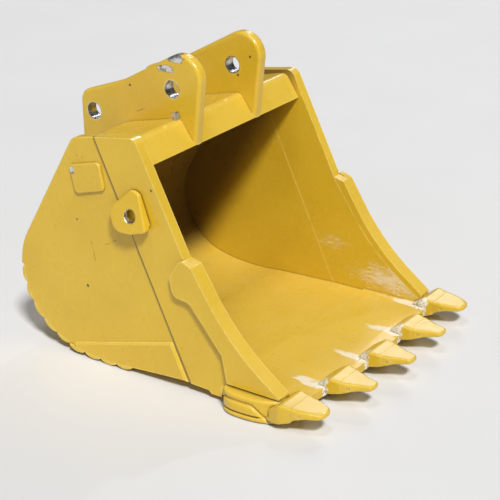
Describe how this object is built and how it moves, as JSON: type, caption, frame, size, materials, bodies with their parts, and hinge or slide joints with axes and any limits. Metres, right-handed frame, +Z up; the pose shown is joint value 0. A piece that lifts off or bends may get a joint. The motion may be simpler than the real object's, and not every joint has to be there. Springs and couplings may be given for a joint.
{
  "type": "excavator bucket",
  "caption": "Welded excavator bucket with a curved back, pin ears, side cutters, lifting lugs, heel wear bars and a bowed cutting edge with replaceable tooth tips.",
  "frame": {"origin": "middle of the stick pin's axis, on the bucket's centre plane", "axes": "+X along the stick pin towards the bucket's left side, -Y forwards over the teeth, +Z up with the bucket resting on its heel"},
  "size_m": [1.676, 2.0927, 1.672],
  "materials": {
    "yellow_paint": "gloss enamel, chipped at the edges",
    "bush_steel": "bare machined steel",
    "retainer_steel": "bare hardened steel"
  },
  "bodies": {
    "bucket": {"adapter_1": "yellow_paint", "adapter_2": "yellow_paint", "adapter_3": "yellow_paint", "adapter_4": "yellow_paint", "adapter_5": "yellow_paint", "corner_shroud_left": "yellow_paint", "corner_shroud_right": "yellow_paint", "cutting_edge": "yellow_paint", "ear_left": "yellow_paint", "ear_right": "yellow_paint", "heel_bar_1": "yellow_paint", "heel_bar_2": "yellow_paint", "heel_bar_3": "yellow_paint", "heel_bar_4": "yellow_paint", "heel_bar_5": "yellow_paint", "heel_bar_6": "yellow_paint", "heel_bar_7": "yellow_paint", "heel_bar_8": "yellow_paint", "heel_bar_9": "yellow_paint", "heel_side_plate_left": "yellow_paint", "heel_side_plate_right": "yellow_paint", "lifting_lug_left": "yellow_paint", "lifting_lug_right": "yellow_paint", "link_bush_left": "bush_steel", "link_bush_right": "bush_steel", "raised_pad_left": "yellow_paint", "raised_pad_right": "yellow_paint", "side_bar_left": "yellow_paint", "side_bar_right": "yellow_paint", "side_cutter_left": "yellow_paint", "side_cutter_right": "yellow_paint", "side_panel_left": "yellow_paint", "side_panel_right": "yellow_paint", "stick_bush_left": "bush_steel", "stick_bush_right": "bush_steel", "tooth_tip_1": "yellow_paint", "tooth_tip_2": "yellow_paint", "tooth_tip_3": "yellow_paint", "tooth_tip_4": "yellow_paint", "tooth_tip_5": "yellow_paint", "torque_tube": "yellow_paint", "wrapper": "yellow_paint"},
    "retainer_1": {"retainer_pin_1": "retainer_steel"},
    "retainer_2": {"retainer_pin_2": "retainer_steel"},
    "retainer_3": {"retainer_pin_3": "retainer_steel"},
    "retainer_4": {"retainer_pin_4": "retainer_steel"},
    "retainer_5": {"retainer_pin_5": "retainer_steel"}
  },
  "joints": [
    {"name": "retainer_slide_1", "type": "slide", "parent": "bucket", "child": "retainer_1", "axis": [-1, 0, 0], "range_m": [0, 0.18]},
    {"name": "retainer_slide_2", "type": "slide", "parent": "bucket", "child": "retainer_2", "axis": [-1, 0, 0], "range_m": [0, 0.17]},
    {"name": "retainer_slide_3", "type": "slide", "parent": "bucket", "child": "retainer_3", "axis": [1, 0, 0], "range_m": [0, 0.17]},
    {"name": "retainer_slide_4", "type": "slide", "parent": "bucket", "child": "retainer_4", "axis": [1, 0, 0], "range_m": [0, 0.17]},
    {"name": "retainer_slide_5", "type": "slide", "parent": "bucket", "child": "retainer_5", "axis": [1, 0, 0], "range_m": [0, 0.18]}
  ]
}
